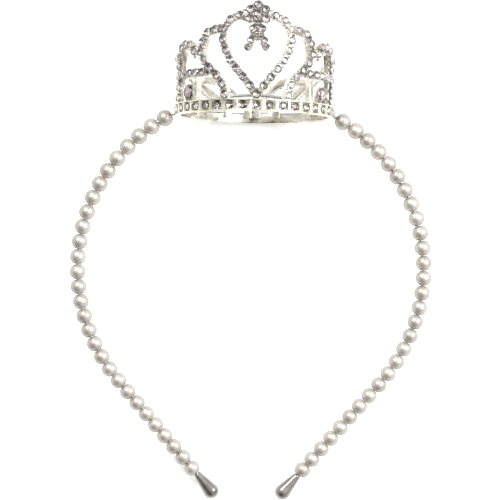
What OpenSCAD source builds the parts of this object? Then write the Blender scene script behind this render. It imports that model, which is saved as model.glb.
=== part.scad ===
// Mini crown headband, lying on its back as it rests on a table.
// Every piece is drawn standing: X to the right, Z up, the crown's front towards -Y,
// and the centre of the hoop's round part at the origin. laid_down() then lays it on the table.

/* [Hoop] */
// Radius of the wire's round part, to the middle of the wire
hoop_r = 55.4; // [50:0.1:75]
// Slope of the straight legs below the horizontal, in degrees
leg_slope = 49; // [40:1:70]
// Clear space between the two end caps
tips_apart = 18.1; // [10:0.1:40]
// Diameter of the wire
wire_d = 1.2; // [0.8:0.1:1.6]
// Clearance round the wire in the pearls, the end caps and the crown
wire_clear = 0.1; // [0.05:0.01:0.2]

/* [Pearls] */
// Diameter of the pearl beside the crown
pearl_top_d = 5.3; // [4.6:0.1:6]
// Diameter of the pearl beside the end cap
pearl_end_d = 4.8; // [4.2:0.1:5.6]
// Diameter of the small flat round a pearl's hole
pearl_flat_d = 2.15; // [1.6:0.05:2.6]
// Least gap between two pieces on the wire
pearl_gap = 0.15; // [0.1:0.01:0.4]

/* [End caps] */
// Largest diameter of the teardrop
tip_d = 4.8; // [4:0.1:6]
// Length of the teardrop
tip_l = 9.5; // [8:0.1:13]
// Diameter of the teardrop's narrow end
tip_neck_d = 2.2; // [2:0.1:3]
// Depth of the hole that takes the wire
tip_hole_l = 5; // [3:0.5:6]

/* [Crown band] */
// Diameter over the rails
crown_d = 51.4; // [44:0.1:60]
// Height of the band
band_h = 3.6; // [3.4:0.1:5]
// Wall of the band between its rails
band_t = 1.3; // [1:0.1:2]
// Height of each rail
rail_h = 0.4; // [0.3:0.05:0.5]
// How far the rails stand out from the wall
rail_out = 0.85; // [0.6:0.05:1.1]
// Chamfer of the band's inner edges
band_chamfer = 0.45; // [0.2:0.05:0.6]
// How far the band's lower edge lies below the middle of the hoop's wire
crown_drop = 7.2; // [6.9:0.1:7.6]

/* [Stones] */
// Stones round the band
band_stone_count = 38; // [30:2:40]
// Diameter of the small stones
stone_d = 2.6; // [2.2:0.1:2.9]
// Height of the small stones
stone_h = 0.85; // [0.6:0.05:1]
// Space between two stones along a scroll
stone_space = 0.8; // [0.4:0.05:1.2]
// Share of a stone's diameter that is its table
table_share = 0.55; // [0.4:0.05:0.7]
// Gap between a stone and its seat
seat_gap = 0.08; // [0.05:0.01:0.15]
// Diameter of the large side stones
side_stone_d = 5; // [3.5:0.1:5.4]
// Height of the large side stones
side_stone_h = 1.7; // [1:0.1:2.2]

/* [Crown scrolls] */
// Width of the metal strips between the seats
strip_w = 2.4; // [1.6:0.1:2.6]
// Depth of the metal strips, from outside to inside
strip_t = 1.9; // [1.6:0.1:3]
// How far a seat stands out from its strip
seat_rise = 0.4; // [0.2:0.1:0.8]
// How much narrower a seat is at its back
seat_taper = 0.25; // [0.1:0.05:0.5]
// Metal left round a stone on its seat
seat_rim = 0.08; // [0.05:0.01:0.3]
// How much deeper each scroll lies than the one that it springs from
join_depth = 0.1; // [0.08:0.01:0.2]
// Width of the heart between the middles of its stones, measured round the crown
heart_w = 23.1; // [20:0.1:26]
// Height of the heart between the middles of its stones
heart_h = 24; // [20:0.1:30]
// How far the shoulder scrolls reach beyond the heart
shoulder_w = 8.3; // [8:0.1:11]
// Height of the shoulder scrolls above the band's lower edge
shoulder_h = 25.1; // [22:0.1:28]
// How far the side loops reach beyond the shoulder scrolls
loop_w = 14.6; // [13:0.1:17]
// Height of the side loops
loop_h = 21.6; // [19:0.1:24]
// Height of the side branches
branch_h = 12.2; // [11.5:0.1:13]
// Height of the back scrolls where they leave the side loops
back_h = 18.4; // [16:0.1:20]
// Height of the two lobes at the back
lobe_h = 13.8; // [12:0.1:16]

/* [Rosette and knot] */
// Space between two stones of the rosette
rosette_space = 0.25; // [0.2:0.05:0.6]
// Height of the rosette's middle stone above the lobes of the heart
rosette_up = 0.3; // [0:0.1:2]
// Diameter of the two stones of the knot
knot_d = 2.5; // [2.2:0.1:3]
// How far the knot lies below the rosette's middle stone
knot_drop = 4.4; // [4.2:0.1:6]
// How far the metal between the tails goes down from the middle of the knot
web_drop = 2.4; // [1.5:0.1:3]
// Space between the stones of the knot and the upper stones of the tails
knot_space = 1.2; // [0.3:0.1:1.5]
// Diameter of the upper stone of each tail
tail_d = 2.3; // [1.8:0.1:2.8]
// Diameter of the end stone of each tail
tail_end_d = 1.4; // [1.2:0.1:2.4]
// Lean of the tails outwards, in degrees
tail_slope = 32; // [15:1:45]
// Metal left round the end stone of each tail
tail_rim = 0.7; // [0.3:0.1:0.8]

/* [Hidden] */
$fn = 48;
LEFT = -1;
RIGHT = 1;

// Hoop: an arc of arc_half degrees to each side of the top, then a straight leg along its tangent.
// The leg ends where the end caps are tips_apart from each other; ball_s is the way along the wire
// from the top to the middle of an end cap's ball, and tip_s to its mouth.
arc_half = 180 - leg_slope;
arc_len = hoop_r * arc_half * PI / 180;
ball_s = arc_len + (hoop_r * sin(arc_half) - (tips_apart + tip_d) / 2) / cos(leg_slope);
tip_s = ball_s - tip_l + tip_d / 2;

// Radii of the crown from inside to outside, and the height of its lower edge in the hoop's frame
crown_r = crown_d / 2;
band_face_r = crown_r - rail_out;
band_inner_r = band_face_r - band_t;
crown_base = hoop_r - crown_drop;
half_round = PI * crown_r;
seat_d = stone_d + 2 * seat_rim;
foot_h = band_h + seat_d / 2 + seat_gap;
seat_wall = strip_t / 2 + seat_taper / 5;
stone_pitch = stone_d + stone_space;
strip_face_r = band_face_r - seat_rise;

// Waypoints of the scrolls, [across, up], for the right-hand side.
// Each column is a share of the sizes that the way of the same name, below, gives it.
HEART_WAY = [[0, 0], [0.18, 0.105], [0.38, 0.22], [0.58, 0.33], [0.75, 0.43], [0.89, 0.558],
             [0.98, 0.69], [0.96, 0.83], [0.774, 0.948], [0.496, 1]];
SHOULDER_WAY = [[-0.14, 0], [-0.05, 0.14], [0.16, 0.27], [0.43, 0.365], [0.66, 0.46], [0.92, 0.57],
                [1, 0.73], [0.86, 0.867], [0.6, 0.985], [0.3, 1]];
LOOP_WAY = [[0.22, 0.83], [0.33, 0.96], [0.53, 1], [0.75, 0.98], [0.9, 0.87], [0.98, 0.725],
            [1, 0.515], [0.99, 0.28], [0.99, 0]];
BACK_WAY = [[0.075, 0.975], [0.142, 1], [0.25, 0.96], [0.416, 0.72], [0.556, 0.475], [0.68, 0.22], [0.8, 0]];
LOBE_WAY = [[1, 0], [0.87, 0.37], [0.66, 0.8], [0.38, 1], [0.07, 0.98]];

// Smooth curve through waypoints, and points spaced evenly along it
function catmull(a, b, c, d, t) =
    0.5 * (2 * b + (c - a) * t + (2 * a - 5 * b + 4 * c - d) * t * t + (3 * b - a - 3 * c + d) * t * t * t);
function smooth(way, steps = 6) =
    [for (i = [0 : len(way) - 2]) for (j = [0 : steps - 1])
        catmull(way[max(i - 1, 0)], way[i], way[i + 1], way[min(i + 2, len(way) - 1)], j / steps),
     way[len(way) - 1]];
function runs(line) =
    [for (i = 0, run = 0; i < len(line);
          i = i + 1, run = run + (i < len(line) ? norm(line[i] - line[i - 1]) : 0)) run];
function along(line, run, at) =
    let (i = max([for (k = [0 : len(line) - 2]) run[k] <= at ? k : 0]))
    line[i] + (line[i + 1] - line[i]) * (at - run[i]) / (run[i + 1] - run[i]);
// Points along a way, as many for each stone as parts says
function spaced(way, parts) =
    let (line = smooth(way), run = runs(line), total = run[len(run) - 1],
         most = floor(total / (stone_d + rosette_space)),
         n = parts * max(2, min(round(total / stone_pitch), most)))
    [for (k = [0 : n]) along(line, run, total * k / n)];
function seats_on(way) = spaced(way, 1);
function line_on(way) = spaced(way, 2);
function part_way(row, share) = row[round(share * (len(row) - 1))];

// Ways of the scrolls on the right-hand side, in [arc from the front, height above the band's lower edge]
heart_side = heart_w / 2;
loop_start = heart_side + shoulder_w;
leg_arc = loop_start + loop_w;
back_span = half_round - leg_arc;
lobe_foot = half_round - stone_pitch / 2;
lobe_w = 0.37 * back_span;
heart_way = [for (p = HEART_WAY) [p[0] * heart_side, foot_h + p[1] * heart_h]];
shoulder_way = [for (p = SHOULDER_WAY)
    [heart_side + p[0] * shoulder_w, foot_h + p[1] * (shoulder_h - foot_h)]];
loop_way = [for (p = LOOP_WAY) [loop_start + p[0] * loop_w, foot_h + p[1] * (loop_h - foot_h)]];
branch_way = [[heart_side + 0.87 * shoulder_w, branch_h], [leg_arc - stone_pitch, branch_h]];
back_way = [for (p = BACK_WAY) [leg_arc + p[0] * back_span, foot_h + p[1] * (back_h - foot_h)]];
lobe_way = [for (p = LOBE_WAY) [lobe_foot - (1 - p[0]) * lobe_w, foot_h + p[1] * (lobe_h - foot_h)]];
side_ways = [shoulder_way, loop_way, branch_way, back_way, lobe_way];

// Rosette in the cleft of the heart, with the knot and the two tails under it
rosette_mid = [0, foot_h + heart_h + rosette_up];
rosette_r = stone_d + rosette_space;
rosette_ring = [for (a = [-30 : 60 : 210]) rosette_mid + rosette_r * [cos(a), sin(a)]];
knot_mid = rosette_mid - [0, knot_drop];
function knot_at(side) = knot_mid + [side * (knot_d + rosette_space) / 2, 0];
function leaning(side, from_d, to_d, space, lean) =
    ((from_d + to_d) / 2 + space) * [side * sin(lean), -cos(lean)];
function tail_at(side) = knot_at(side) + leaning(side, knot_d, tail_d, knot_space, tail_slope / 3);
function tail_end_at(side) = tail_at(side) + leaning(side, tail_d, tail_end_d, rosette_space, tail_slope);

// Large side stone, between the band and the branch
function side_at(side) = [side * (loop_start + 0.38 * loop_w), band_h + side_stone_d / 2 + 2 * seat_gap];

function flipped(row, side) = [for (p = row) [side * p[0], p[1]]];

// Seats of the small stones above the band, [arc, height, stone diameter]
function sized(row, d) = [for (p = row) [p[0], p[1], d]];
heart_seats = seats_on(heart_way);
scroll_seats = [
    each sized([rosette_mid, each rosette_ring], stone_d),
    each sized(heart_seats, stone_d),
    each sized([for (i = [1 : len(heart_seats) - 1]) [-heart_seats[i][0], heart_seats[i][1]]], stone_d),
    for (side = [LEFT, RIGHT]) for (way = side_ways) each sized(flipped(seats_on(way), side), stone_d),
    for (side = [LEFT, RIGHT]) each sized([knot_at(side)], knot_d),
    for (side = [LEFT, RIGHT]) each sized([tail_at(side)], tail_d),
    for (side = [LEFT, RIGHT]) each sized([tail_end_at(side)], tail_end_d)
];

// Pearls: as many on each side as fit between the crown and the end cap, with the same gap between them.
// Their diameter goes evenly from the first, share 0, to the last, share 1.
function pearl_d(share) = pearl_top_d + (pearl_end_d - pearl_top_d) * share;
function pearl_l(share) = sqrt(pow(pearl_d(share), 2) - pow(pearl_flat_d, 2));
function sum(row, i = 0) = i < len(row) ? row[i] + sum(row, i + 1) : 0;
first_pearl_s = hoop_r * asin((crown_r + pearl_top_d / 2 + pearl_gap) / hoop_r) * PI / 180;
pearl_room = tip_s - first_pearl_s + pearl_l(0) / 2;
pearl_count = floor(pearl_room / ((pearl_l(0) + pearl_l(1)) / 2 + pearl_gap));
pearl_shares = [for (i = [0 : pearl_count - 1]) i / (pearl_count - 1)];
pearl_space = (pearl_room - sum([for (share = pearl_shares) pearl_l(share)])) / pearl_count;
function pearl_s(i) =
    i == 0 ? first_pearl_s
           : pearl_s(i - 1) + (pearl_l(pearl_shares[i - 1]) + pearl_l(pearl_shares[i])) / 2 + pearl_space;

// How the piece rests: on the band's rear edge, or on its rear stone, and on the two end caps.
// Place [x, z] and turn of the hoop's line at a distance along it from the top
function hoop_turn(s) = min(s / arc_len, 1) * arc_half;
function hoop_at(s) =
    let (turn = hoop_turn(s), beyond = max(s - arc_len, 0))
    [hoop_r * sin(turn) + beyond * cos(turn), hoop_r * cos(turn) - beyond * sin(turn)];
tip_ball = hoop_at(ball_s);
function tilt_on(r, z) =
    let (away = z - tip_ball[1])
    acos(tip_d / 2 / norm([r, away])) - atan2(away, r);
stone_face_r = band_face_r + seat_gap + stone_h;
rest_tilt = max(tilt_on(crown_r, crown_base),
                tilt_on(stone_face_r, crown_base + band_h / 2 - table_share * stone_d / 2));
tip_reach = tip_ball[1] * cos(rest_tilt) - tip_d / 2;
crown_top = crown_base + rosette_mid[1] + rosette_r;
crown_reach = (crown_top + seat_d / 2) * cos(rest_tilt) - strip_face_r * sin(rest_tilt);
rest_shift = -(tip_reach + crown_reach) / 2;
rest_lift = tip_d / 2 - tip_ball[1] * sin(rest_tilt);

module laid_down() {
    translate([0, rest_shift, rest_lift]) rotate([rest_tilt - 90, 0, 0]) children();
}

module crown_place() {
    laid_down() translate([0, 0, crown_base]) children();
}

// Puts its children on the hoop's line, their +Z along it, away from the crown
module on_hoop(side, s) {
    at = hoop_at(s);
    translate([side * at[0], 0, at[1]]) rotate([0, side * (90 + hoop_turn(s)), 0]) children();
}

// Puts its children on the face of the crown's wall, their +Z outwards and their +Y up
module on_crown(seat) {
    rotate([0, 0, seat[0] / crown_r * 180 / PI]) translate([0, -band_face_r, seat[1]])
        rotate([90, 0, 0]) children();
}

// The wire. Its round part has three times as many facets, so that it bends as evenly as the pearls' row.
// Its legs are a hair thinner, so that they start cleanly inside the round part's end faces.
module hoop_wire() {
    lap = wire_d / 10;
    leg_d = 0.98 * wire_d;
    color("silver") laid_down() {
        rotate([90, 0, 0]) rotate([0, 0, 90 - arc_half]) rotate_extrude(angle = 2 * arc_half, $fn = 3 * $fn)
            translate([hoop_r, 0]) circle(d = wire_d, $fn = $fn / 3);
        for (side = [LEFT, RIGHT]) on_hoop(side, arc_len) translate([0, 0, -lap])
            cylinder(h = tip_s + tip_hole_l - wire_clear - arc_len + lap, d = leg_d);
    }
}

// A pearl: a ball with a small flat at each end of its hole
module pearl(d, l) {
    difference() {
        intersection() {
            sphere(d = d);
            cube([2 * d, 2 * d, l], center = true);
        }
        cylinder(h = 2 * d, d = wire_d + 2 * wire_clear, center = true);
    }
}

module pearl_string(side) {
    color("ivory") laid_down()
        for (i = [0 : pearl_count - 1]) on_hoop(side, pearl_s(i))
            pearl(pearl_d(pearl_shares[i]), pearl_l(pearl_shares[i]));
}

module pearls_left() {
    pearl_string(LEFT);
}

module pearls_right() {
    pearl_string(RIGHT);
}

// A teardrop: a ball and the cone that touches it, narrow end towards the pearls
module teardrop() {
    ball_z = tip_l - tip_d / 2;
    lean = asin((tip_d - tip_neck_d) / 2 / ball_z);
    difference() {
        union() {
            translate([0, 0, ball_z]) sphere(d = tip_d);
            cylinder(h = ball_z - tip_d / 2 * sin(lean), d1 = tip_neck_d, d2 = tip_d * cos(lean));
        }
        translate([0, 0, -tip_d]) cylinder(h = tip_hole_l + tip_d, d = wire_d + 2 * wire_clear);
    }
}

module tip_left() {
    color("darkgray") laid_down() on_hoop(LEFT, tip_s) teardrop();
}

module tip_right() {
    color("darkgray") laid_down() on_hoop(RIGHT, tip_s) teardrop();
}

// The base band: a ring with a rail along each edge, and a hole at each side for the wire
module band() {
    difference() {
        rotate_extrude($fn = 56) polygon([
            [band_inner_r, band_chamfer], [band_inner_r + band_chamfer, 0], [crown_r, 0], [crown_r, rail_h],
            [band_face_r, rail_h], [band_face_r, band_h - rail_h], [crown_r, band_h - rail_h],
            [crown_r, band_h], [band_inner_r + band_chamfer, band_h],
            [band_inner_r, band_h - band_chamfer]]);
        for (side = [LEFT, RIGHT]) translate([0, 0, -crown_base])
            on_hoop(side, hoop_r * asin(band_face_r / hoop_r) * PI / 180)
                cylinder(h = 4 * (band_t + rail_out), d = wire_d + 2 * wire_clear, center = true, $fn = 16);
    }
}

// Point on the crown's wall at radius r, moved by [across, up] along the wall
function wall_point(at, move, r) =
    let (a = at[0] / crown_r * 180 / PI)
    [r * sin(a) + move[0] * cos(a), -r * cos(a) + move[0] * sin(a), at[1] + move[1]];

// A metal strip along a line of points, sunk as many steps as order says
module strip(line, order) {
    last = len(line) - 1;
    face_r = strip_face_r - order * join_depth;
    corners = [[1, face_r], [-1, face_r], [-1, face_r - strip_t], [1, face_r - strip_t]];
    points = [for (i = [0 : last])
        let (way = line[min(i + 1, last)] - line[max(i - 1, 0)])
        for (c = corners) wall_point(line[i], c[0] * strip_w / 2 / norm(way) * [-way[1], way[0]], c[1])];
    polyhedron(points, [
        [0, 1, 2, 3],
        [for (k = [3 : -1 : 0]) 4 * last + k],
        for (i = [0 : last - 1]) for (j = [0 : 3]) let (k = (j + 1) % 4)
            [4 * i + k, 4 * i + j, 4 * i + 4 + j, 4 * i + 4 + k]
    ]);
}

// An eight-sided disc in the crown's wall, from depth top inwards
module disc(at, d, top, thick) {
    on_crown(at) translate([0, 0, -top - thick]) rotate([0, 0, 180 / 8]) cylinder(h = thick, d = d, $fn = 8);
}

// A solid web between two or more discs, [arc, height, diameter], sunk as many steps as order says
module web(discs, order) {
    hull() for (at = discs) disc(at, at[2], seat_rise + order * join_depth, strip_t);
}

// The seat under a stone, a little wider than its strip
module seat(at, d) {
    face_d = d + 2 * seat_rim;
    on_crown(at) translate([0, 0, -seat_wall]) rotate([0, 0, 180 / 8])
        cylinder(h = seat_wall, d1 = face_d - seat_taper, d2 = face_d, $fn = 8);
}

// Foot of a strip in the band, under one of its points
function foot(at) = [at[0], band_h / 2];

module heart() {
    right = line_on(heart_way);
    left = flipped([for (i = [len(right) - 1 : -1 : 1]) right[i]], LEFT);
    strip([rosette_ring[4], each left, each right, rosette_ring[0]], 0);
    web(sized([[0, foot_h], [0, band_h / 2]], strip_w), 1);
}

module side_scrolls(side) {
    shoulder = flipped(line_on(shoulder_way), side);
    loop = flipped(line_on(loop_way), side);
    branch = flipped(line_on(branch_way), side);
    back = flipped(line_on(back_way), side);
    lobe = flipped(line_on(lobe_way), side);
    strip([foot(shoulder[0]), each shoulder, [side * heart_side, shoulder_h]], 1);
    strip([part_way(shoulder, 0.62), each loop, foot(loop[len(loop) - 1])], 2);
    strip([part_way(shoulder, 0.37), each branch, [side * leg_arc, branch_h]], 3);
    strip([part_way(loop, 0.5), each back, foot(back[len(back) - 1])], 3);
    strip([foot(lobe[0]), each lobe, part_way(back, 0.55)], 4);
    strip([foot(part_way(back, 0.5)), part_way(back, 0.5)], 5);
    disc(side_at(side), side_stone_d + 2 * seat_rim, 0, seat_rise + strip_t);
    web(sized([side_at(side), foot(side_at(side))], strip_w), 1);
}

module knot_and_tails() {
    web(sized(rosette_ring, strip_w), 1);
    web(sized([rosette_mid, knot_mid], 0.8 * strip_w), 2);
    web(sized([knot_at(LEFT), knot_at(RIGHT)], strip_w), 3);
    web(sized([knot_mid, knot_mid - [0, web_drop]], 0.9 * strip_w), 6);
    for (side = [LEFT, RIGHT]) {
        web(sized([knot_at(side), tail_at(side)], 0.8 * strip_w), 4);
        web([[each tail_at(side), tail_d], [each tail_end_at(side), tail_end_d + 2 * tail_rim]], 5);
    }
}

module crown_frame() {
    color("gainsboro") crown_place() union() {
        band();
        heart();
        side_scrolls(LEFT);
        side_scrolls(RIGHT);
        knot_and_tails();
        for (at = scroll_seats) seat(at, at[2]);
    }
}

// A flat-backed cut stone: a table and a ring of kite facets over its flat back
module cut_stone(d, h, sides) {
    function ring(r, turn, z) = [for (i = [0 : sides - 1]) let (a = (i + turn) * 360 / sides)
        [r * cos(a), r * sin(a), z]];
    function next(i) = (i + 1) % sides;
    translate([0, 0, seat_gap]) polyhedron(
        points = concat(ring(d / 2, 0.5, 0), ring(table_share * d / 2, 1, h)),
        faces = [
            [for (i = [0 : sides - 1]) i],
            [for (i = [sides - 1 : -1 : 0]) sides + i],
            for (i = [0 : sides - 1]) [i, sides + i, next(i)],
            for (i = [0 : sides - 1]) [next(i), sides + i, sides + next(i)]
        ]);
}

module band_stones() {
    color("lightsteelblue") crown_place()
        for (i = [0 : band_stone_count - 1])
            on_crown([2 * half_round * i / band_stone_count, band_h / 2]) cut_stone(stone_d, stone_h, 8);
}

module scroll_stones() {
    color("lavender") crown_place()
        for (at = scroll_seats) on_crown(at) cut_stone(at[2], stone_h * at[2] / stone_d, 8);
}

module side_stone(side) {
    color("lightsteelblue") crown_place()
        on_crown(side_at(side)) cut_stone(side_stone_d, side_stone_h, 12);
}

module side_stone_left() {
    side_stone(LEFT);
}

module side_stone_right() {
    side_stone(RIGHT);
}

hoop_wire();
pearls_left();
pearls_right();
tip_left();
tip_right();
crown_frame();
band_stones();
scroll_stones();
side_stone_left();
side_stone_right();
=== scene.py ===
import math
import random

import bpy
import numpy as np
from mathutils import Matrix, Vector


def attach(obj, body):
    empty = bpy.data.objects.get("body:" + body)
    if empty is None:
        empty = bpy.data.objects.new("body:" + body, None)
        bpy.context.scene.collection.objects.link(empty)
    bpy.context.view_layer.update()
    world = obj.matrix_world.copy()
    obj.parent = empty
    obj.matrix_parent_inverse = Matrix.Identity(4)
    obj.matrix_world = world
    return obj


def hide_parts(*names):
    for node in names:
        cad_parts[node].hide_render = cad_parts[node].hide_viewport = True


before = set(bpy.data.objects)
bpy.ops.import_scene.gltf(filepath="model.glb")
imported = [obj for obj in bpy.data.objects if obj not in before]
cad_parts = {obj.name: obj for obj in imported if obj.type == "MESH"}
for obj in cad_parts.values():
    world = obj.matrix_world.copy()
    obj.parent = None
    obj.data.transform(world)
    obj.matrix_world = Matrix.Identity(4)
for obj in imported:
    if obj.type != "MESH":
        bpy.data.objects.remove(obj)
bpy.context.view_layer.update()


# Studio table, lights and camera
# The headband lies on a plain white light table, on its two end caps and the crown's rear edge.
# Two soft boxes light it, a broad one on the right and a small one at the upper left.

def set_input(node, **values):
    for name, value in values.items():
        node.inputs[name.replace("_", " ")].default_value = value


def new_material(name):
    material = bpy.data.materials.new(name)
    material.use_nodes = True
    tree = material.node_tree
    return material, tree, tree.nodes["Principled BSDF"]


table_material, tree, bsdf = new_material("table_top")
set_input(bsdf, Base_Color=(0.75, 0.75, 0.745, 1), Roughness=0.75)
set_input(bsdf, Emission_Color=(1, 1, 1, 1), Emission_Strength=0.45)
grain = tree.nodes.new("ShaderNodeTexNoise")
set_input(grain, Scale=900.0, Detail=3.0)
grain_bump = tree.nodes.new("ShaderNodeBump")
set_input(grain_bump, Strength=0.05, Distance=0.0004)
tree.links.new(grain.outputs["Fac"], grain_bump.inputs["Height"])
tree.links.new(grain_bump.outputs["Normal"], bsdf.inputs["Normal"])

table_mesh = bpy.data.meshes.new("table_top")
table_half = 3.0
table_corners = [(table_half * x, table_half * y, 0) for x, y in ((-1, -1), (1, -1), (1, 1), (-1, 1))]
table_mesh.from_pydata(table_corners, [], [(0, 1, 2, 3)])
table_mesh.materials.append(table_material)
table_top = bpy.data.objects.new("table_top", table_mesh)
bpy.context.scene.collection.objects.link(table_top)

# The room is white, but darker in front of the table, a little to the left.
darkest_way = Vector((-0.42, -0.78, 0.46))
world = bpy.data.worlds.new("studio_room")
world.use_nodes = True
bpy.context.scene.world = world
room = world.node_tree
direction = room.nodes.new("ShaderNodeTexCoord")
towards = room.nodes.new("ShaderNodeVectorMath")
towards.operation = "DOT_PRODUCT"
towards.inputs[1].default_value = darkest_way
ragged = room.nodes.new("ShaderNodeTexNoise")
set_input(ragged, Scale=3.5, Detail=2.0)
edge = room.nodes.new("ShaderNodeMath")
edge.operation = "MULTIPLY_ADD"
edge.inputs[1].default_value = 0.4
front = room.nodes.new("ShaderNodeMapRange")
front.interpolation_type = "SMOOTHSTEP"
set_input(front, From_Min=0.84, From_Max=1.06)
shade = room.nodes.new("ShaderNodeMix")
shade.data_type = "RGBA"
shade.inputs["A"].default_value = (1, 0.995, 0.985, 1)
shade.inputs["B"].default_value = (0.15, 0.12, 0.10, 1)
room.links.new(direction.outputs["Generated"], towards.inputs[0])
room.links.new(direction.outputs["Generated"], ragged.inputs["Vector"])
room.links.new(ragged.outputs["Fac"], edge.inputs[0])
room.links.new(towards.outputs["Value"], edge.inputs[2])
room.links.new(edge.outputs["Value"], front.inputs["Value"])
room.links.new(front.outputs["Result"], shade.inputs["Factor"])
room.links.new(shade.outputs["Result"], room.nodes["Background"].inputs["Color"])
room.nodes["Background"].inputs["Strength"].default_value = 0.95


def soft_box(name, place, aim, width, watts, colour):
    lamp = bpy.data.lights.new(name, "AREA")
    lamp.shape = "RECTANGLE"
    lamp.size, lamp.size_y = width
    lamp.energy = watts
    lamp.color = colour
    holder = bpy.data.objects.new(name, lamp)
    bpy.context.scene.collection.objects.link(holder)
    holder.location = place
    holder.rotation_euler = (Vector(aim) - Vector(place)).to_track_quat("-Z", "Y").to_euler()


soft_box("broad_box", (0.35, 0.05, 0.42), (0, 0, 0.01), (0.26, 0.30), 2.4, (1, 0.995, 0.98))
soft_box("small_box", (-0.19, 0.25, 0.52), (0, 0.02, 0.01), (0.10, 0.10), 1.9, (1, 1, 1))

# The hoop's plane is tilted from the table's by rest_tilt, and the camera looks almost square at it.
rest_tilt = math.radians(11.0148)
hoop_centre = np.array([0.0, -0.001626, 0.016017])
camera_turn = math.radians(-1.4)
camera_roll = math.radians(1.1)
camera_away = 0.480
camera_shift = 0.00048
aim_at = np.array([0.0, 0.00417, 0.01715])
square_on = np.array([0.0, -math.sin(rest_tilt), math.cos(rest_tilt)])
hoop_up = np.array([0.0, math.cos(rest_tilt), math.sin(rest_tilt)])
hoop_right = np.array([1.0, 0.0, 0.0])
back_to_camera = math.cos(camera_turn) * square_on + math.sin(camera_turn) * hoop_right
camera_right = np.cross(hoop_up, back_to_camera)
rolled_up = math.cos(camera_roll) * hoop_up - math.sin(camera_roll) * camera_right
rolled_right = np.cross(rolled_up, back_to_camera)
camera_place = aim_at + camera_away * back_to_camera - camera_shift * rolled_right
camera_data = bpy.data.cameras.new("camera")
camera_data.lens = 108
camera_data.sensor_width = 36
camera_data.clip_start = 0.01
camera = bpy.data.objects.new("camera", camera_data)
camera_rows = [(rolled_right[i], rolled_up[i], back_to_camera[i], camera_place[i]) for i in range(3)]
camera.matrix_world = Matrix(camera_rows + [(0, 0, 0, 1)])
bpy.context.scene.collection.objects.link(camera)
bpy.context.scene.camera = camera
bpy.context.scene.view_settings.view_transform = "Standard"


# Hoop wire
# One length of drawn spring steel, bent to a round arc with two straight legs.
# It runs through every pearl, crosses the inside of the crown and ends inside the two end caps.

hoop_r = 0.0554
arc_half = math.radians(131)
arc_len = hoop_r * arc_half
wire_r = 0.0006
wire_in_cap = 0.0049
tips_apart, tip_d, tip_l, tip_neck_d = 0.0181, 0.0048, 0.0095, 0.0022
ball_s = arc_len - (hoop_r * math.sin(arc_half) - (tips_apart + tip_d) / 2) / math.cos(arc_half)
tip_s = ball_s - tip_l + tip_d / 2


def lying(points):
    """Lays upright points (X right, Z up, front towards -Y) on the table as the headband rests."""
    points = np.atleast_2d(points)
    c, s = math.cos(rest_tilt - math.pi / 2), math.sin(rest_tilt - math.pi / 2)
    x, y, z = points[:, 0], points[:, 1], points[:, 2]
    return np.stack([x, c * y - s * z, s * y + c * z], 1) + hoop_centre


def hoop_at(side, s):
    """Place and direction on the hoop's line, a distance s from its top."""
    turn = min(s / arc_len, 1) * arc_half
    beyond = max(s - arc_len, 0)
    x = hoop_r * math.sin(turn) + beyond * math.cos(turn)
    z = hoop_r * math.cos(turn) - beyond * math.sin(turn)
    return np.array([side * x, 0, z]), np.array([side * math.cos(turn), 0, -math.sin(turn)])


class Shape:
    """Points and faces of one piece, gathered before its mesh is made."""

    def __init__(self):
        self.points, self.faces, self.finish = [], [], []

    def add(self, points, faces, finish=0):
        start = len(self.points)
        self.points.extend(map(tuple, points))
        self.faces.extend([tuple(start + i for i in face) for face in faces])
        self.finish.extend([finish] * len(faces))

    def build(self, name, materials, sharp=35, smooth=True):
        mesh = bpy.data.meshes.new(name)
        mesh.from_pydata(self.points, [], self.faces)
        for material in materials:
            mesh.materials.append(material)
        mesh.polygons.foreach_set("material_index", self.finish)
        mesh.polygons.foreach_set("use_smooth", [smooth] * len(self.faces))
        if smooth:
            mesh.set_sharp_from_angle(angle=math.radians(sharp))
        mesh.update()
        piece = bpy.data.objects.new(name, mesh)
        bpy.context.scene.collection.objects.link(piece)
        return piece


def tube_faces(rings, sides, capped=True):
    """Faces between rings of points, one ring after another, with flat ends if capped."""
    faces = []
    for i in range(rings - 1):
        near, far = i * sides, (i + 1) * sides
        for j in range(sides):
            k = (j + 1) % sides
            faces.append((near + j, near + k, far + k, far + j))
    if capped:
        faces.append(tuple(range(sides - 1, -1, -1)))
        faces.append(tuple((rings - 1) * sides + j for j in range(sides)))
    return faces


# Shared finish: fine pits and soft smudges, for the metals and the lacquered caps
worn_group = bpy.data.node_groups.new("fine_pits_and_smudges", "ShaderNodeTree")
for name, usual in (("Pit Scale", 4000.0), ("Smudge Scale", 220.0), ("Low", 0.1), ("High", 0.3)):
    socket = worn_group.interface.new_socket(name, in_out="INPUT", socket_type="NodeSocketFloat")
    socket.default_value = usual
for name in ("Pits", "Roughness", "Smudge"):
    worn_group.interface.new_socket(name, in_out="OUTPUT", socket_type="NodeSocketFloat")
worn_in = worn_group.nodes.new("NodeGroupInput")
worn_out = worn_group.nodes.new("NodeGroupOutput")
worn_place = worn_group.nodes.new("ShaderNodeTexCoord")
pits = worn_group.nodes.new("ShaderNodeTexNoise")
smudge = worn_group.nodes.new("ShaderNodeTexNoise")
set_input(pits, Detail=3.0, Roughness=0.6)
set_input(smudge, Detail=4.0, Roughness=0.55, Distortion=0.4)
smudge_range = worn_group.nodes.new("ShaderNodeMapRange")
set_input(smudge_range, From_Min=0.35, From_Max=0.65)
worn_group.links.new(worn_place.outputs["Object"], pits.inputs["Vector"])
worn_group.links.new(worn_place.outputs["Object"], smudge.inputs["Vector"])
worn_group.links.new(worn_in.outputs["Pit Scale"], pits.inputs["Scale"])
worn_group.links.new(worn_in.outputs["Smudge Scale"], smudge.inputs["Scale"])
worn_group.links.new(worn_in.outputs["Low"], smudge_range.inputs["To Min"])
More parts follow.
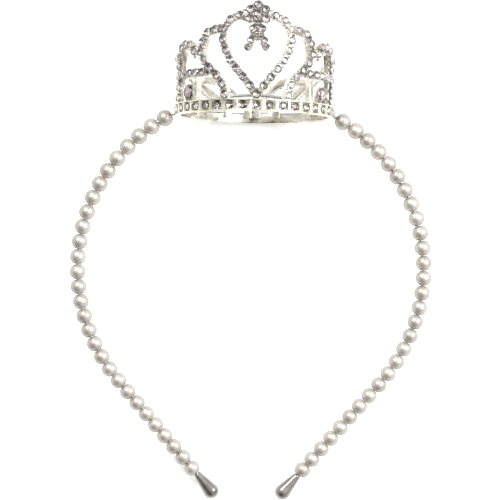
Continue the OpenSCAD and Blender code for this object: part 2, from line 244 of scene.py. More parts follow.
worn_group.links.new(worn_in.outputs["High"], smudge_range.inputs["To Max"])
worn_group.links.new(smudge.outputs["Fac"], smudge_range.inputs["Value"])
worn_group.links.new(pits.outputs["Fac"], worn_out.inputs["Pits"])
worn_group.links.new(smudge_range.outputs["Result"], worn_out.inputs["Roughness"])
worn_group.links.new(smudge.outputs["Fac"], worn_out.inputs["Smudge"])


def add_wear(tree, bsdf, bump, pit_scale, smudge_scale, low, high):
    """Pits in the surface, and a roughness that goes from low to high with the smudges."""
    wear = tree.nodes.new("ShaderNodeGroup")
    wear.node_tree = worn_group
    set_input(wear, Pit_Scale=pit_scale, Smudge_Scale=smudge_scale, Low=low, High=high)
    pit_bump = tree.nodes.new("ShaderNodeBump")
    set_input(pit_bump, Strength=bump, Distance=0.0001)
    tree.links.new(wear.outputs["Pits"], pit_bump.inputs["Height"])
    tree.links.new(pit_bump.outputs["Normal"], bsdf.inputs["Normal"])
    tree.links.new(wear.outputs["Roughness"], bsdf.inputs["Roughness"])
    return wear


def tint(tree, mask, dark, light, bsdf):
    """Base colour that goes from dark to light with a mask."""
    ramp = tree.nodes.new("ShaderNodeValToRGB")
    ramp.color_ramp.elements[0].position = 0.35
    ramp.color_ramp.elements[0].color = (*dark, 1)
    ramp.color_ramp.elements[1].position = 0.65
    ramp.color_ramp.elements[1].color = (*light, 1)
    tree.links.new(mask, ramp.inputs["Fac"])
    tree.links.new(ramp.outputs["Color"], bsdf.inputs["Base Color"])
    return ramp


wire_material, tree, bsdf = new_material("spring_wire")
set_input(bsdf, Metallic=1.0)
wear = add_wear(tree, bsdf, 0.15, 3500, 300, 0.18, 0.34)
tint(tree, wear.outputs["Smudge"], (0.42, 0.41, 0.38), (0.60, 0.59, 0.56), bsdf)

wire = Shape()
wire_end = tip_s + wire_in_cap
wire_sides, leg_steps, arc_steps = 16, 12, 150
leg_stations = [arc_len + (k + 1) * (wire_end - arc_len) / leg_steps for k in range(leg_steps)]
stations = [-s for s in leg_stations[::-1]]
stations += [*np.linspace(-arc_len, arc_len, arc_steps), *leg_stations]
wire_points = []
for s in stations:
    side = 1 if s >= 0 else -1
    place, way = hoop_at(side, abs(s))
    outward = side * np.array([-way[2], 0, way[0]])
    for j in range(wire_sides):
        a = 2 * math.pi * j / wire_sides
        wire_points.append(place + wire_r * (math.cos(a) * outward + math.sin(a) * np.array([0, 1, 0])))
wire.add(lying(wire_points), tube_faces(len(stations), wire_sides))
hoop_wire = wire.build("spring_wire", [wire_material])
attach(hoop_wire, "root")
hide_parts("hoop_wire")


# Pearls
# Imitation pearls: moulded beads dipped in pearl lacquer, drilled through and threaded on the wire.
# They shrink a little from the crown to the end caps, and are packed side by side.

pearl_count = 29
pearl_top_d, pearl_end_d = 0.0053, 0.0048
pearl_flat_d = 0.00215
pearl_flat_soft = 0.00006
pearl_gap = 0.00015
pearl_sides, pearl_steps = 32, 22
crown_r = 0.0257
pearl_hole_r = 0.0007


def pearl_d(i):
    """Diameter of a pearl, counted from the crown."""
    return pearl_top_d + (pearl_end_d - pearl_top_d) * i / (pearl_count - 1)


def pearl_l(i):
    """Length of a pearl along the wire, between its two small flats."""
    return math.sqrt(pearl_d(i) ** 2 - pearl_flat_d ** 2)


pearl_s = [hoop_r * math.asin((crown_r + pearl_top_d / 2 + pearl_gap) / hoop_r)]
pearl_room = tip_s - pearl_s[0] + pearl_l(0) / 2
pearl_space = (pearl_room - sum(pearl_l(i) for i in range(pearl_count))) / pearl_count
for i in range(1, pearl_count):
    pearl_s.append(pearl_s[-1] + (pearl_l(i - 1) + pearl_l(i)) / 2 + pearl_space)


def turned(profile, sides, place, axis):
    """Points and faces of a shape turned round an axis; the profile is [radius, height along the axis]."""
    axis = np.array(axis) / np.linalg.norm(axis)
    first = np.cross(axis, [0, 1, 0.01])
    first /= np.linalg.norm(first)
    second = np.cross(axis, first)
    points = []
    for r, z in profile:
        for j in range(sides):
            a = 2 * math.pi * j / sides
            points.append(np.array(place) + axis * z + r * (math.cos(a) * first + math.sin(a) * second))
    return points, tube_faces(len(profile), sides, capped=False)


pearl_material, tree, bsdf = new_material("pearl_lacquer")
set_input(bsdf, Metallic=0.65, Coat_Weight=0.22, Coat_Roughness=0.12, Coat_IOR=1.4, IOR=1.3)
set_input(bsdf, Specular_Tint=(0.38, 0.37, 0.35, 1))
nacre_place = tree.nodes.new("ShaderNodeTexCoord")
nacre = tree.nodes.new("ShaderNodeTexNoise")
set_input(nacre, Scale=160.0, Detail=3.0)
tree.links.new(nacre_place.outputs["Object"], nacre.inputs["Vector"])
facing = tree.nodes.new("ShaderNodeLayerWeight")
set_input(facing, Blend=0.35)
rim = tree.nodes.new("ShaderNodeMix")
rim.data_type = "RGBA"
body = tint(tree, nacre.outputs["Fac"], (0.50, 0.465, 0.42), (0.60, 0.57, 0.525), bsdf)
rim.inputs["B"].default_value = (0.30, 0.30, 0.285, 1)
tree.links.new(body.outputs["Color"], rim.inputs["A"])
tree.links.new(facing.outputs["Facing"], rim.inputs["Factor"])
tree.links.new(rim.outputs["Result"], bsdf.inputs["Base Color"])
nacre_rough = tree.nodes.new("ShaderNodeMapRange")
set_input(nacre_rough, To_Min=0.30, To_Max=0.42)
tree.links.new(nacre.outputs["Fac"], nacre_rough.inputs["Value"])
tree.links.new(nacre_rough.outputs["Result"], bsdf.inputs["Roughness"])
nacre_fine = tree.nodes.new("ShaderNodeTexNoise")
set_input(nacre_fine, Scale=1400.0, Detail=2.0)
nacre_bump = tree.nodes.new("ShaderNodeBump")
set_input(nacre_bump, Strength=0.06, Distance=0.0001)
tree.links.new(nacre_place.outputs["Object"], nacre_fine.inputs["Vector"])
tree.links.new(nacre_fine.outputs["Fac"], nacre_bump.inputs["Height"])
tree.links.new(nacre_bump.outputs["Normal"], bsdf.inputs["Normal"])

for side, name in ((-1, "pearls_left"), (1, "pearls_right")):
    string = Shape()
    for i in range(pearl_count):
        r, half = pearl_d(i) / 2, pearl_l(i) / 2
        flat_r = pearl_flat_d / 2 - pearl_flat_soft
        to_flat = math.asin(half / r) - 0.02
        profile = [(pearl_hole_r, -half), (flat_r, -half)]
        profile += [(r * math.cos(a), r * math.sin(a)) for a in np.linspace(-to_flat, to_flat, pearl_steps)]
        profile += [(flat_r, half), (pearl_hole_r, half), (pearl_hole_r, -half)]
        place, way = hoop_at(side, pearl_s[i])
        points, faces = turned(profile, pearl_sides, place, way)
        string.add(lying(points), faces)
    pearl_string = string.build(name + "_beads", [pearl_material], sharp=40)
    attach(pearl_string, "root")
    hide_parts(name)


# End caps
# A moulded teardrop pushed over each end of the wire, so that the ends don't scratch.
# It is dipped in a darker grey pearl lacquer.

cap_material, tree, bsdf = new_material("grey_pearl_lacquer")
set_input(bsdf, Metallic=0.85, Coat_Weight=0.5, Coat_Roughness=0.08, IOR=1.5)
wear = add_wear(tree, bsdf, 0.06, 2500, 260, 0.24, 0.34)
tint(tree, wear.outputs["Smudge"], (0.19, 0.17, 0.155), (0.28, 0.26, 0.245), bsdf)

cap_hole_r, cap_hole_l, cap_soft = 0.0007, 0.0004, 0.0001
cap_sides, cone_steps, ball_steps = 40, 12, 18
ball_r, neck_r = tip_d / 2, tip_neck_d / 2
ball_z = tip_l - ball_r
lean = math.asin((ball_r - neck_r) / ball_z)
cone_z, cone_r = ball_z - ball_r * math.sin(lean), ball_r * math.cos(lean)
cap_profile = [(cap_hole_r, cap_hole_l), (cap_hole_r, 0), (neck_r - cap_soft, 0), (neck_r, cap_soft)]
for t in np.linspace(0.06, 1, cone_steps):
    cap_profile.append((neck_r + (cone_r - neck_r) * t, cap_soft + (cone_z - cap_soft) * t))
for a in np.linspace(-lean + 0.08, math.pi / 2 - 0.02, ball_steps):
    cap_profile.append((ball_r * math.cos(a), ball_z + ball_r * math.sin(a)))

for side, name in ((-1, "tip_left"), (1, "tip_right")):
    place, way = hoop_at(side, tip_s)
    points, faces = turned(cap_profile, cap_sides, place, way)
    faces.append(tuple(len(points) - cap_sides + j for j in range(cap_sides)))
    cap = Shape()
    cap.add(lying(points), faces)
    end_cap = cap.build(name + "_cap", [cap_material], sharp=40)
    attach(end_cap, "root")
    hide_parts(name)


# Crown frame
# A cast zinc alloy crown, soldered into one piece and silver plated: the base band with its two rails,
# the heart, scrolls and loops of square bar, and a cup for every stone with claws beside it.

# The base band with a rail along each edge, and where it sits on the hoop
band_h, band_t, rail_h, rail_out = 0.0036, 0.0013, 0.0004, 0.00085
band_chamfer, band_soft, band_sides = 0.00045, 0.00012, 220
band_face_r = crown_r - rail_out
band_inner_r = band_face_r - band_t
crown_drop = 0.0072
crown_base = hoop_r - crown_drop
half_round = math.pi * crown_r
# The stones and their seats, and the strips of bar that carry them
band_stone_count = 38
stone_d, stone_space, seat_gap, seat_rim = 0.0026, 0.0008, 0.00008, 0.00008
side_stone_d = 0.005
strip_w, strip_t, seat_rise, join_depth = 0.0024, 0.0019, 0.0004, 0.0001
# Widths along the band and heights of the heart, shoulder scrolls, side loops, branches and back scrolls
heart_w, heart_h, shoulder_w, shoulder_h = 0.0231, 0.024, 0.0083, 0.0251
loop_w, loop_h, branch_h, back_h, lobe_h = 0.0146, 0.0216, 0.0122, 0.0184, 0.0138
lobe_share, branch_share, side_share = 0.37, 0.87, 0.38
# The rosette over the heart, and the knot with its two tails below it
rosette_space, rosette_up = 0.00025, 0.0003
knot_d, knot_drop, knot_space, web_drop = 0.0025, 0.0044, 0.0012, 0.0024
tail_d, tail_end_d, tail_slope, tail_rim = 0.0023, 0.0014, 32, 0.0007
knot_bar_w, tail_bar_w = 0.0018, 0.0027

stone_pitch = stone_d + stone_space
foot_h = band_h + stone_d / 2 + seat_rim + seat_gap

# Waypoints of the scrolls, each as shares of its scroll's width and height
heart_rows = [[0, 0], [0.18, 0.105], [0.38, 0.22], [0.58, 0.33], [0.75, 0.43], [0.89, 0.558],
              [0.98, 0.69], [0.96, 0.83], [0.774, 0.948], [0.496, 1]]
shoulder_rows = [[-0.14, 0], [-0.05, 0.14], [0.16, 0.27], [0.43, 0.365], [0.66, 0.46], [0.92, 0.57],
                 [1, 0.73], [0.86, 0.867], [0.6, 0.985], [0.3, 1]]
loop_rows = [[0.22, 0.83], [0.33, 0.96], [0.53, 1], [0.75, 0.98], [0.9, 0.87], [0.98, 0.725],
             [1, 0.515], [0.99, 0.28], [0.99, 0]]
back_rows = [[0.075, 0.975], [0.142, 1], [0.25, 0.96], [0.416, 0.72], [0.556, 0.475], [0.68, 0.22],
             [0.8, 0]]
lobe_rows = [[1, 0], [0.87, 0.37], [0.66, 0.8], [0.38, 1], [0.07, 0.98]]


def smooth_line(way, steps=6):
    """The curve through the waypoints, a few steps to each stretch."""
    way = np.array(way, float)
    line = []
    for i in range(len(way) - 1):
        a, b, c, d = way[max(i - 1, 0)], way[i], way[i + 1], way[min(i + 2, len(way) - 1)]
        for j in range(steps):
            t = j / steps
            line.append(0.5 * (2 * b + (c - a) * t + (2 * a - 5 * b + 4 * c - d) * t * t
                               + (3 * b - a - 3 * c + d) * t ** 3))
    return np.array(line + [way[-1]])


def evenly(line, count):
    """Points spaced evenly along a line, count stretches in all."""
    line = np.array(line, float)
    run = np.concatenate([[0], np.cumsum(np.linalg.norm(np.diff(line, axis=0), axis=1))])
    at = np.linspace(0, run[-1], count + 1)
    return np.stack([np.interp(at, run, line[:, k]) for k in range(2)], 1)


def stones_on(way):
    """Places of the stones along a scroll, as many as fit at the usual pitch."""
    line = smooth_line(way)
    total = np.linalg.norm(np.diff(line, axis=0), axis=1).sum()
    most = math.floor(total / (stone_d + rosette_space))
    return evenly(line, max(2, min(int(total / stone_pitch + 0.5), most)))


heart_side = heart_w / 2
loop_start = heart_side + shoulder_w
leg_arc = loop_start + loop_w
shoulder_rise, loop_rise = shoulder_h - foot_h, loop_h - foot_h
back_rise, lobe_rise = back_h - foot_h, lobe_h - foot_h
back_span = half_round - leg_arc
lobe_foot = half_round - stone_pitch / 2
lobe_w = lobe_share * back_span
heart_way = [[x * heart_side, foot_h + y * heart_h] for x, y in heart_rows]
shoulder_way = [[heart_side + x * shoulder_w, foot_h + y * shoulder_rise] for x, y in shoulder_rows]
loop_way = [[loop_start + x * loop_w, foot_h + y * loop_rise] for x, y in loop_rows]
branch_way = [[heart_side + branch_share * shoulder_w, branch_h], [leg_arc - stone_pitch, branch_h]]
back_way = [[leg_arc + x * back_span, foot_h + y * back_rise] for x, y in back_rows]
lobe_way = [[lobe_foot - (1 - x) * lobe_w, foot_h + y * lobe_rise] for x, y in lobe_rows]
heart_seats = stones_on(heart_way)
shoulder_seats, loop_seats = stones_on(shoulder_way), stones_on(loop_way)
branch_seats, back_seats, lobe_seats = stones_on(branch_way), stones_on(back_way), stones_on(lobe_way)
side_seats = [shoulder_seats, loop_seats, branch_seats, back_seats, lobe_seats]


def towards_angle(degrees):
    """Direction on the crown's wall, as [arc, height], at an angle from its right-hand side."""
    return np.array([math.cos(math.radians(degrees)), math.sin(math.radians(degrees))])


def leaning(side, length, lean):
    """A step down the wall that leans outwards by some degrees."""
    lean = math.radians(lean)
    return length * np.array([side * math.sin(lean), -math.cos(lean)])


rosette_mid = np.array([0, foot_h + heart_h + rosette_up])
rosette_r = stone_d + rosette_space
rosette_turns = range(-30, 211, 60)
rosette_ring = [rosette_mid + rosette_r * towards_angle(turn) for turn in rosette_turns]
knot_mid = rosette_mid - [0, knot_drop]
knot_at = {side: knot_mid + [side * (knot_d + rosette_space) / 2, 0] for side in (-1, 1)}
to_tail = (knot_d + tail_d) / 2 + knot_space
to_end = (tail_d + tail_end_d) / 2 + rosette_space
tail_at = {side: knot_at[side] + leaning(side, to_tail, tail_slope / 3) for side in (-1, 1)}
tail_end_at = {side: tail_at[side] + leaning(side, to_end, tail_slope) for side in (-1, 1)}
side_arc, side_h = loop_start + side_share * loop_w, band_h + side_stone_d / 2 + 2 * seat_gap
side_at = {side: np.array([side * side_arc, side_h]) for side in (-1, 1)}

# Every small cup: [arc, height, stone diameter]; every claw: [arc, height, radius]
cups, claws = [], []
claw_r = 0.00042
claw_across = 0.00092
claw_bite = 0.0001
# Odd claws between the rosette, the knot and its tails, as [across, up] from the rosette's middle
odd_claws = [[0.00045, -0.0018], [0.0011, -0.0028], [0.00035, -0.0030], [0.00035, -0.0058],
             [0.0004, -0.0066], [0.0011, -0.0064], [0.0021, -0.0062], [0.0004, -0.0074]]


def cup_row(row, d):
    """Cups in a row, with a pair of claws shared by each two, and a pair at each end."""
    row = np.array(row, float)
    for at in row:
        cups.append((at[0], at[1], d))
    row = np.vstack([2 * row[0] - row[1], row, 2 * row[-1] - row[-2]])
    for i, (a, b) in enumerate(zip(row, row[1:])):
        along = (b - a) / np.linalg.norm(b - a)
        middle = (a + b) / 2
        if i == 0:
            middle = b - along * stone_pitch / 2
        if i == len(row) - 2:
            middle = a + along * stone_pitch / 2
        for side in (-1, 1):
            at = middle + side * claw_across * np.array([-along[1], along[0]])
            claws.append((at[0], at[1], claw_r))


cups.append((*rosette_mid, stone_d))
claws.append((*(rosette_mid + rosette_r / math.sqrt(3) * towards_angle(-60)), 0.8 * claw_r))
for turn, at in zip(rosette_turns, rosette_ring):
    cups.append((*at, stone_d))
    claws.append((*(rosette_mid + rosette_r / math.sqrt(3) * towards_angle(turn + 30)), 0.8 * claw_r))
    for outer in (turn - 12, turn + 12):
        spread = rosette_r + stone_d / 2 - claw_bite
        claws.append((*(rosette_mid + spread * towards_angle(outer)), 0.75 * claw_r))
for turn in rosette_turns[:-1]:
    claws.append((*(rosette_mid + 1.2 * rosette_r * towards_angle(turn + 30)), claw_r))
cup_row(np.vstack([heart_seats[:0:-1] * [-1, 1], heart_seats]), stone_d)
for side in (-1, 1):
    for x, y in odd_claws:
        claws.append((rosette_mid[0] + side * x, rosette_mid[1] + y, 0.85 * claw_r))
    for row in side_seats:
        cup_row(row * [side, 1], stone_d)
    for at, d in ((knot_at[side], knot_d), (tail_at[side], tail_d), (tail_end_at[side], tail_end_d)):
        cups.append((*at, d))
        for turn in (20, 160, 250 if side > 0 else 290):
            claws.append((*(at + (d / 2 + claw_bite) * towards_angle(turn)), 0.75 * claw_r))


def wall_frame(at):
    """On the crown's wall at [arc, height]: the point, and the directions along, up and out of the wall."""
    a = at[0] / crown_r
    right = np.array([math.cos(a), math.sin(a), 0])
    up = np.array([0, 0, 1.0])
    out = np.array([math.sin(a), -math.cos(a), 0])
    return band_face_r * out + at[1] * up, right, up, out


def on_wall(at, profile, sides):
    """Points of a shape turned round the line that stands square on the wall; profile is [radius, out]."""
    point, right, up, out = wall_frame(at)
    points = []
    for r, z in profile:
        for j in range(sides):
            a = 2 * math.pi * j / sides
            points.append(point + r * (math.cos(a) * right + math.sin(a) * up) + z * out)
    return points


def on_crown(points):
    """Lays points that stand on the crown's own base with the rest of the headband."""
    return lying(np.atleast_2d(points) + [0, 0, crown_base])


bar_corner, corner_steps, bar_step = 0.00028, 3, 0.00045


def bar_section(width):
    """Section of a bar with rounded corners, [across, depth from its face]."""
    across, near, far = width / 2 - bar_corner, bar_corner, strip_t - bar_corner
    section = []
    for x, z, start in ((across, near, 0), (-across, near, 90), (-across, far, 180), (across, far, 270)):
        for k in range(corner_steps + 1):
            a = math.radians(start + 90 * k / corner_steps)
            section.append((x + bar_corner * math.cos(a), z - bar_corner * math.sin(a)))
    return section


def bar(shape, way, order, width=strip_w, round_end=False, face=2):
    """A cast bar along a line on the crown's wall; each order lies a step deeper."""
    way = np.array(way, float)
    total = np.linalg.norm(np.diff(way, axis=0), axis=1).sum()
    line = evenly(way, max(3, math.ceil(total / bar_step)))
    section = bar_section(width)
    inset = seat_rise + order * join_depth
    points = []
    for i, at in enumerate(line):
        along = line[min(i + 1, len(line) - 1)] - line[max(i - 1, 0)]
        along /= np.linalg.norm(along)
        point, right, up, out = wall_frame(at)
        across = -along[1] * right + along[0] * up
        narrow = 1.0
        if round_end:
            left = total * (1 - i / (len(line) - 1))
            if left < width / 2:
                narrow = math.sqrt(max(1 - (1 - left / (width / 2)) ** 2, 0.02))
        points.extend(point + x * narrow * across - (inset + z) * out for x, z in section)
    faces = tube_faces(len(line), len(section))
    front = len(section) // 2 - 1
    first = len(shape.finish)
    shape.add(on_crown(points), faces)
    # The bar's front faces take the face finish, by default the rough plate with painted shade; the rest is
    # polished
    for i in range((len(line) - 1) * len(section)):
        shape.finish[first + i] = face if i % len(section) < front else 0


def part_way(row, share):
    """The stone's place that lies nearest to a share of a row."""
    return row[int(share * (len(row) - 1) + 0.5)]


def foot(at):
    """The place on the band straight below a point of the wall."""
    return [at[0], band_h / 2]


# Three finishes of one plate: polished on the sides and the back, thin and yellowish on the rails
# and dividers, and rougher between the stones, where its colour is also painted darker as shade
silver_material, tree, bsdf = new_material("silver_plate")
set_input(bsdf, Metallic=1.0)
wear = add_wear(tree, bsdf, 0.12, 1800, 260, 0.16, 0.32)
plate = tint(tree, wear.outputs["Smudge"], (0.56, 0.535, 0.47), (0.80, 0.78, 0.72), bsdf)
# Flux stains round the solder seam at the back
stain_place = tree.nodes.new("ShaderNodeTexCoord")
stain_way = tree.nodes.new("ShaderNodeVectorMath")
stain_way.operation = "DISTANCE"
stain_way.inputs[1].default_value = on_crown([0.0006, band_inner_r, band_h / 2])[0]
stain_noise = tree.nodes.new("ShaderNodeTexNoise")
set_input(stain_noise, Scale=900.0, Detail=4.0)
stain_near = tree.nodes.new("ShaderNodeMapRange")
set_input(stain_near, From_Min=0.0004, From_Max=0.0034, To_Min=1.0, To_Max=0.0)
stain = tree.nodes.new("ShaderNodeMath")
stain.operation = "MULTIPLY"
stain_cut = tree.nodes.new("ShaderNodeMapRange")
set_input(stain_cut, From_Min=0.30, From_Max=0.50)
stained = tree.nodes.new("ShaderNodeMix")
stained.data_type = "RGBA"
stained.inputs["B"].default_value = (0.20, 0.165, 0.125, 1)
tree.links.new(stain_place.outputs["Object"], stain_way.inputs[0])
tree.links.new(stain_place.outputs["Object"], stain_noise.inputs["Vector"])
tree.links.new(stain_way.outputs["Value"], stain_near.inputs["Value"])
tree.links.new(stain_near.outputs["Result"], stain.inputs[0])
tree.links.new(stain_noise.outputs["Fac"], stain.inputs[1])
tree.links.new(stain.outputs["Value"], stain_cut.inputs["Value"])
tree.links.new(stain_cut.outputs["Result"], stained.inputs["Factor"])
tree.links.new(plate.outputs["Color"], stained.inputs["A"])
tree.links.new(stained.outputs["Result"], bsdf.inputs["Base Color"])

thin_plate_material, tree, bsdf = new_material("thin_plate")
set_input(bsdf, Metallic=1.0)
wear = add_wear(tree, bsdf, 0.20, 2600, 400, 0.22, 0.38)
tint(tree, wear.outputs["Smudge"], (0.56, 0.545, 0.41), (0.80, 0.79, 0.66), bsdf)

# Between the stones: rougher plate, with its colour painted darker as the shade that falls between the
# stones
dull_painted_shade_plate_material, tree, bsdf = new_material("dull_painted_shade_plate")
set_input(bsdf, Metallic=1.0)
wear = add_wear(tree, bsdf, 0.35, 2600, 500, 0.26, 0.42)
tint(tree, wear.outputs["Smudge"], (0.36, 0.34, 0.30), (0.68, 0.66, 0.61), bsdf)

crown = Shape()
# The band, turned, with a soldered seam near the middle of the back
band_profile = [
    (band_inner_r, band_chamfer), (band_inner_r + band_chamfer, 0), (crown_r, 0), (crown_r, rail_h),
    (band_face_r, rail_h), (band_face_r, band_h - rail_h), (crown_r, band_h - rail_h), (crown_r, band_h),
    (band_inner_r + band_chamfer, band_h), (band_inner_r, band_h - band_chamfer)]
rounded = []
for i in range(len(band_profile)):
    before, here, after = (np.array(band_profile[k % len(band_profile)]) for k in (i - 1, i, i + 1))
    a = here + (before - here) / np.linalg.norm(before - here) * band_soft
    b = here + (after - here) / np.linalg.norm(after - here) * band_soft
    for t in (0.0, 0.5, 1.0):
        rounded.append((1 - t) ** 2 * a + 2 * t * (1 - t) * here + t ** 2 * b)
seam_turn, seam_h, seam_w = math.radians(2.0), 0.00018, 0.0016
seam_inside_r = band_inner_r + 0.0007
ragged_seam = random.Random(7)
points = []
for r, z in rounded:
    for j in range(band_sides):
        a = 2 * math.pi * j / band_sides
        lump = 0.0
        if r < seam_inside_r:
            from_seam = math.atan2(math.sin(a + seam_turn), -math.cos(a + seam_turn)) * band_inner_r
            lump = seam_h * math.exp(-(from_seam / seam_w) ** 2) * (0.6 + 0.4 * ragged_seam.random())
        points.append(((r - lump) * math.sin(a), -(r - lump) * math.cos(a), z))
faces, finish = [], []
for i in range(len(rounded)):
    next_i = (i + 1) % len(rounded)
    near, far = i * band_sides, next_i * band_sides
    on_rail = min(rounded[i][0], rounded[next_i][0]) > band_face_r + band_soft / 2
    for j in range(band_sides):
        k = (j + 1) % band_sides
        faces.append((near + j, near + k, far + k, far + j))
        finish.append(1 if on_rail else 0)
crown.add(on_crown(points), faces)
crown.finish = finish

# The bars, cast in steps behind each other
heart_line = smooth_line(np.vstack([heart_seats[:0:-1] * [-1, 1], heart_seats]))
bar(crown, np.vstack([[rosette_ring[4]], heart_line, [rosette_ring[0]]]), 0)
bar(crown, [[0, foot_h], foot([0, foot_h])], 1)
bar(crown, [knot_at[-1], knot_at[1]], 3)
bar(crown, [knot_mid, knot_mid - [0, web_drop + strip_w / 2]], 6, round_end=True)
for side in (-1, 1):
    flip = np.array([side, 1])
    shoulder, loop, branch, back, lobe = (smooth_line(row) * flip for row in side_seats)
    on_shoulder, on_loop, on_back = (row * flip for row in (shoulder_seats, loop_seats, back_seats))
    bar(crown, [foot(shoulder[0]), *shoulder, [side * heart_side, shoulder_h]], 1)
    bar(crown, [part_way(on_shoulder, 0.62), *loop, foot(loop[-1])], 2)
    bar(crown, [part_way(on_shoulder, 0.37), *branch, [side * leg_arc, branch_h]], 3)
    bar(crown, [part_way(on_loop, 0.5), *back, foot(back[-1])], 3)
    bar(crown, [foot(lobe[0]), *lobe, part_way(on_back, 0.55)], 4)
    bar(crown, [foot(part_way(on_back, 0.5)), part_way(on_back, 0.5)], 5)
    bar(crown, [side_at[side], foot(side_at[side])], 1)
    bar(crown, [rosette_mid, knot_mid, knot_at[side]], 3)
    bar(crown, [knot_at[side], tail_at[side]], 4, width=knot_bar_w)
    tail_tip = tail_end_at[side] + leaning(side, tail_end_d / 2 + tail_rim, tail_slope)
    bar(crown, [tail_at[side], tail_end_at[side], tail_tip], 5, width=tail_bar_w, round_end=True, face=0)
for at in rosette_ring:
    bar(crown, [rosette_mid, at], 1)
for a, b in zip(rosette_ring, rosette_ring[1:]):
    bar(crown, [a, b], 2)

# Section of a cup's wall: [inwards from its outside, out from the crown's wall]
cup_rows = [[0.00012, -0.00098], [0, -0.0001], [0, 0.00012], [0.00003, 0.00016], [0.00008, 0.00016],
            [0.0001, 0.00012], [0.0001, -0.0002]]
claw_top, claw_deep = 0.00055, 0.0006
band_claw_r, band_claw_top, band_claw_across, band_claw_up = 0.0003, 0.00062, 0.00118, 0.00095
divider_w, divider_t, divider_soft, divider_lap = 0.00124, 0.0006, 0.0001, 0.0001
divider_h = band_h - 2 * rail_h + 2 * divider_lap


def cup(shape, at, d, sides):
    """A cup that is open to the front, with a thin lip round the stone."""
    profile = [(d / 2 + seat_rim - inwards, z) for inwards, z in cup_rows]
    faces = tube_faces(len(profile), sides, capped=False)
    faces.append(tuple(range(sides - 1, -1, -1)))
    shape.add(on_crown(on_wall(at, profile, sides)), faces, finish=2)


def claw(shape, at, r, top=claw_top, sides=10):
    """The round end of a claw, pressed down beside a stone."""
    profile = [(0.9 * r, -claw_deep), (r, top - r)]
    profile += [(r * math.cos(a), top - r + r * math.sin(a)) for a in (0.35, 0.75, 1.15)]
    faces = tube_faces(len(profile), sides, capped=False)
    faces.append(tuple((len(profile) - 1) * sides + j for j in range(sides)))
    shape.add(on_crown(on_wall(at, profile, sides)), faces, finish=2)


# Cups and claws take the rough plate with painted shade (finish 2)
for s, h, d in cups:
    cup(crown, (s, h), d, 20)
for s, h, r in claws:
    claw(crown, (s, h), r)
for side in (-1, 1):
    cup(crown, side_at[side], side_stone_d, 36)
    for turn in range(0, 360, 60):
        claw(crown, side_at[side] + (side_stone_d / 2 + claw_bite / 2) * towards_angle(turn), 0.8 * claw_r)
# Claws of the band's stones, and the flat dividers between them
band_pitch = 2 * half_round / band_stone_count
for i in range(band_stone_count):
    for x in (-band_claw_across, band_claw_across):
        for y in (-band_claw_up, band_claw_up):
            claw(crown, (i * band_pitch + x, band_h / 2 + y), band_claw_r, top=band_claw_top, sides=8)
    point, right, up, out = wall_frame(((i + 0.5) * band_pitch, band_h / 2))
    points = []
    for share, z in ((1, 0), (1, divider_t - divider_soft), (0.75, divider_t)):
        for x, y in ((-1, -1), (1, -1), (1, 1), (-1, 1)):
            points.append(point + share * x * divider_w / 2 * right + y * divider_h / 2 * up + z * out)
    crown.add(on_crown(points), tube_faces(3, 4), finish=1)
plates = [silver_material, thin_plate_material, dull_painted_shade_plate_material]
silver_crown = crown.build("silver_crown", plates, sharp=38)
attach(silver_crown, "root")
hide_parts("crown_frame")


# Stones of the base band
# Clear glass stones, cut with a table, star, kite and girdle facets over a foiled back, glued into
# the band between its rails. The foil is painted dark under some facets and bright under others: painted
# reflections.

painted_reflection_foil, tree, bsdf = new_material("foil_with_painted_reflections")
set_input(bsdf, Metallic=1.0, Roughness=0.06)
# The foil's colour comes from each facet's painted reflection tone: dark painted reflections and bright
# painted glints
painted_reflection_tone = tree.nodes.new("ShaderNodeAttribute")
painted_reflection_tone.attribute_name = "facet_painted_reflection"
painted_reflection_ramp = tree.nodes.new("ShaderNodeValToRGB")
painted_reflection_ramp.color_ramp.elements[0].color = (0.09, 0.07, 0.07, 1)
painted_reflection_ramp.color_ramp.elements[1].color = (0.98, 0.975, 0.97, 1)
painted_reflection_ramp.color_ramp.elements.new(0.45).color = (0.56, 0.50, 0.49, 1)
tree.links.new(painted_reflection_tone.outputs["Fac"], painted_reflection_ramp.inputs["Fac"])
tree.links.new(painted_reflection_ramp.outputs["Color"], bsdf.inputs["Base Color"])

crystal_material, tree, bsdf = new_material("cut_crystal")
set_input(bsdf, Base_Color=(0.98, 0.97, 0.985, 1), IOR=1.56, Transmission_Weight=1.0, Coat_Weight=0.3)
polish = tree.nodes.new("ShaderNodeTexNoise")
set_input(polish, Scale=700.0, Detail=2.0)
polish_range = tree.nodes.new("ShaderNodeMapRange")
set_input(polish_range, To_Min=0.0, To_Max=0.045)
tree.links.new(polish.outputs["Fac"], polish_range.inputs["Value"])
tree.links.new(polish_range.outputs["Result"], bsdf.inputs["Roughness"])

tones = random.Random(23)
stone_height, stone_clear = 0.00068, 0.00006
girdle_half = 0.00004
table_share, star_share, star_rise = 0.55, 0.78, 0.55
foil_share, foil_rise = 0.45, 0.35


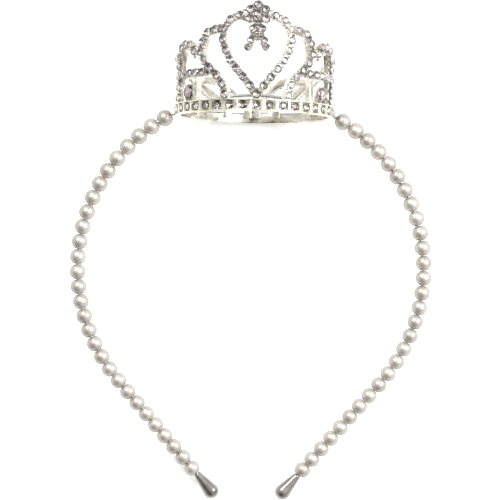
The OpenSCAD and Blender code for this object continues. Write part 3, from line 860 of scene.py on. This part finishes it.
def cut_stone(shape, tone, at, d, height, girdle_z, back_z, turn, painted_reflection_levels):
    """A round stone: table, 8 stars, 8 kites and 16 girdle facets, over a back of 32 facets of foil."""
    point, right, up, out = wall_frame(at)

    def ring(count, r, z, shift=0):
        around = [turn + (j + shift) * 2 * math.pi / count for j in range(count)]
        return [point + r * (math.cos(a) * right + math.sin(a) * up) + z * out for a in around]

    r = d / 2
    points = ring(8, table_share * r, girdle_z + girdle_half + height, 0.5)
    points += ring(8, star_share * r, girdle_z + star_rise * height)
    points += ring(16, r, girdle_z + 1.5 * girdle_half) + ring(16, r, girdle_z - girdle_half)
    points += ring(8, foil_share * r, back_z + foil_rise * (girdle_z - back_z))
    points.append(point + back_z * out)
    table, mid, edge, low, deep, culet = 0, 8, 16, 32, 48, 56
    faces = [tuple(table + j for j in range(8))]
    for j in range(8):
        k = (j + 1) % 8
        faces.append((table + j, mid + j, mid + k))
        faces.append((table + (j - 1) % 8, mid + j, table + j))
        faces.append((mid + j, edge + (2 * j - 1) % 16, edge + 2 * j))
        faces.append((mid + j, edge + 2 * j, edge + 2 * j + 1))
        faces.append((mid + j, edge + 2 * j + 1, mid + k))
    for j in range(16):
        k = (j + 1) % 16
        faces.append((edge + j, low + j, low + k, edge + k))
    glass = len(faces)
    for j in range(8):
        k = (j + 1) % 8
        faces.append((low + 2 * j, low + (2 * j - 1) % 16, deep + j))
        faces.append((low + 2 * j + 1, low + 2 * j, deep + j))
        faces.append((low + 2 * j + 1, deep + j, deep + k))
        faces.append((deep + j, culet, deep + k))
    foil = len(faces) - glass
    shape.add(on_crown(points), faces)
    shape.finish[-foil:] = [1] * foil
    # Painted reflection tones: three facets by the edge, mostly dark as painted shade, then one in the
    # middle, for each eighth of the back
    tone.extend([1.0] * glass)
    for k in range(foil):
        tone.append(tones.choice(painted_reflection_levels[:4] if k % 4 < 3 else painted_reflection_levels[1:]))


def stone_piece(name, stones, node, height, back=-0.00033, girdle=0.00012,
                painted_reflection_levels=(0.0, 0.15, 0.4, 0.8, 0.9, 1.0)):
    """One piece of stones, each [arc, height on the wall, diameter], with a painted reflection tone for
    each facet of foil.
    """
    shape, tone = Shape(), []
    for s, h, d in stones:
        cut_stone(shape, tone, (s, h), d - stone_clear, height * d / stone_d, girdle, back,
                  tones.random() * 0.8, painted_reflection_levels)
    piece = shape.build(name, [crystal_material, painted_reflection_foil], smooth=False)
    layer = piece.data.attributes.new("facet_painted_reflection", "FLOAT", "FACE")
    layer.data.foreach_set("value", tone)
    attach(piece, "root")
    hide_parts(node)


band_stones = [(i * band_pitch, band_h / 2, stone_d) for i in range(band_stone_count)]
stone_piece("band_crystals", band_stones, "band_stones", 0.8 * stone_height, back=0.00002, girdle=0.00032)


# Stones of the heart, knot, tails, rosette and scrolls
# The same glass stones, one in every small cup, held by the claws beside it.

stone_piece("scroll_crystals", cups, "scroll_stones", stone_height)


# Side stones
# A larger glass stone, flatter and with darker painted reflections on its foil, in a cup of its own at each
# side of the crown.

for side, name in ((-1, "side_stone_left"), (1, "side_stone_right")):
    stone_piece(name + "_crystal", [(*side_at[side], side_stone_d)], name, 0.75 * stone_height,
                painted_reflection_levels=(0.0, 0.15, 0.3, 0.45))
